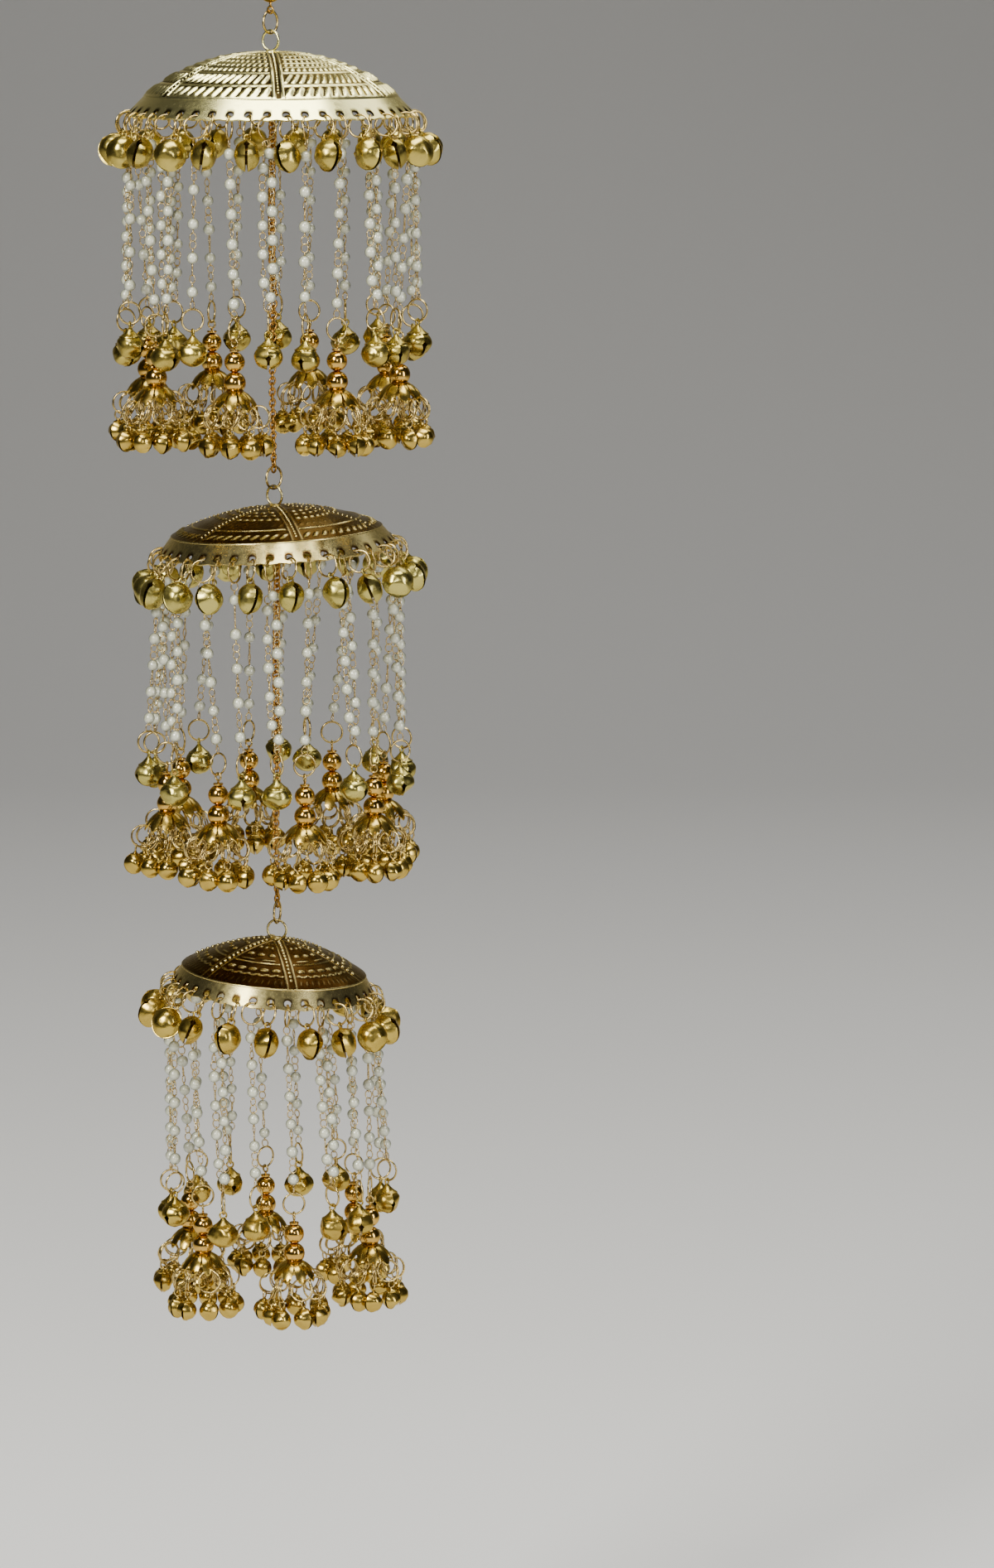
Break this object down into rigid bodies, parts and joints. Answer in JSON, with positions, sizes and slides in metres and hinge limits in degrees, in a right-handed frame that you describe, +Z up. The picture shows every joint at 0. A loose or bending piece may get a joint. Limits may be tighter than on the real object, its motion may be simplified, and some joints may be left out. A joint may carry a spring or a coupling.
{
  "type": "kalire bridal ornament",
  "caption": "Hanging bridal hand ornament: three embossed domes on a chain, each with rim bells, strings of pearls and tassels of small bells.",
  "frame": {"origin": "inner top of the ring that the ornament hangs on", "axes": "+Z up along the chain, -Y the front that the picture shows, X across"},
  "size_m": [0.0939, 0.094, 0.3836],
  "materials": {
    "ring_gold": "polished, lightly worn",
    "bead_gold": "polished",
    "dome_pale_gold": "polished, embossed",
    "dome_deep_gold": "polished, darkened in the relief",
    "chain_gold": "polished wire",
    "bell_gold": "polished, slightly dented",
    "pearl": "pearl lustre",
    "tassel_gold": "polished"
  },
  "bodies": {
    "hanger": {"hang_ring": "ring_gold", "top_bead": "bead_gold", "top_link": "ring_gold"},
    "tier_1": {"dome_1": "dome_pale_gold", "chain_1": "chain_gold", "chain_link_1": "ring_gold", "rim_rings_1": "ring_gold", "rim_bells_1": "bell_gold", "pearl_strings_1": "pearl", "end_bells_1": "bell_gold", "tassel_1_1": "tassel_gold", "tassel_1_2": "tassel_gold", "tassel_1_3": "tassel_gold", "tassel_1_4": "tassel_gold", "tassel_1_5": "tassel_gold", "tassel_1_6": "tassel_gold", "tassel_1_7": "tassel_gold", "tassel_1_8": "tassel_gold"},
    "tier_2": {"dome_2": "dome_deep_gold", "chain_2": "chain_gold", "chain_link_2": "ring_gold", "rim_rings_2": "ring_gold", "rim_bells_2": "bell_gold", "pearl_strings_2": "pearl", "end_bells_2": "bell_gold", "tassel_2_1": "tassel_gold", "tassel_2_2": "tassel_gold", "tassel_2_3": "tassel_gold", "tassel_2_4": "tassel_gold", "tassel_2_5": "tassel_gold", "tassel_2_6": "tassel_gold", "tassel_2_7": "tassel_gold", "tassel_2_8": "tassel_gold"},
    "tier_3": {"dome_3": "dome_deep_gold", "rim_rings_3": "ring_gold", "rim_bells_3": "bell_gold", "pearl_strings_3": "pearl", "end_bells_3": "bell_gold", "tassel_3_1": "tassel_gold", "tassel_3_2": "tassel_gold", "tassel_3_3": "tassel_gold", "tassel_3_4": "tassel_gold", "tassel_3_5": "tassel_gold", "tassel_3_6": "tassel_gold"}
  },
  "joints": [
    {"name": "tier_1_swing", "type": "hinge", "parent": "hanger", "child": "tier_1", "pos_m": [0, 0, -0.0255], "axis": [0.5878, 0.809, 0], "range_deg": [-25, 25]},
    {"name": "tier_2_swing", "type": "hinge", "parent": "tier_1", "child": "tier_2", "pos_m": [0, 0, -0.1507], "axis": [0.6428, 0.766, 0], "range_deg": [-25, 25]},
    {"name": "tier_3_swing", "type": "hinge", "parent": "tier_2", "child": "tier_3", "pos_m": [0, 0, -0.2738], "axis": [0.2588, 0.9659, 0], "range_deg": [-25, 25]}
  ]
}
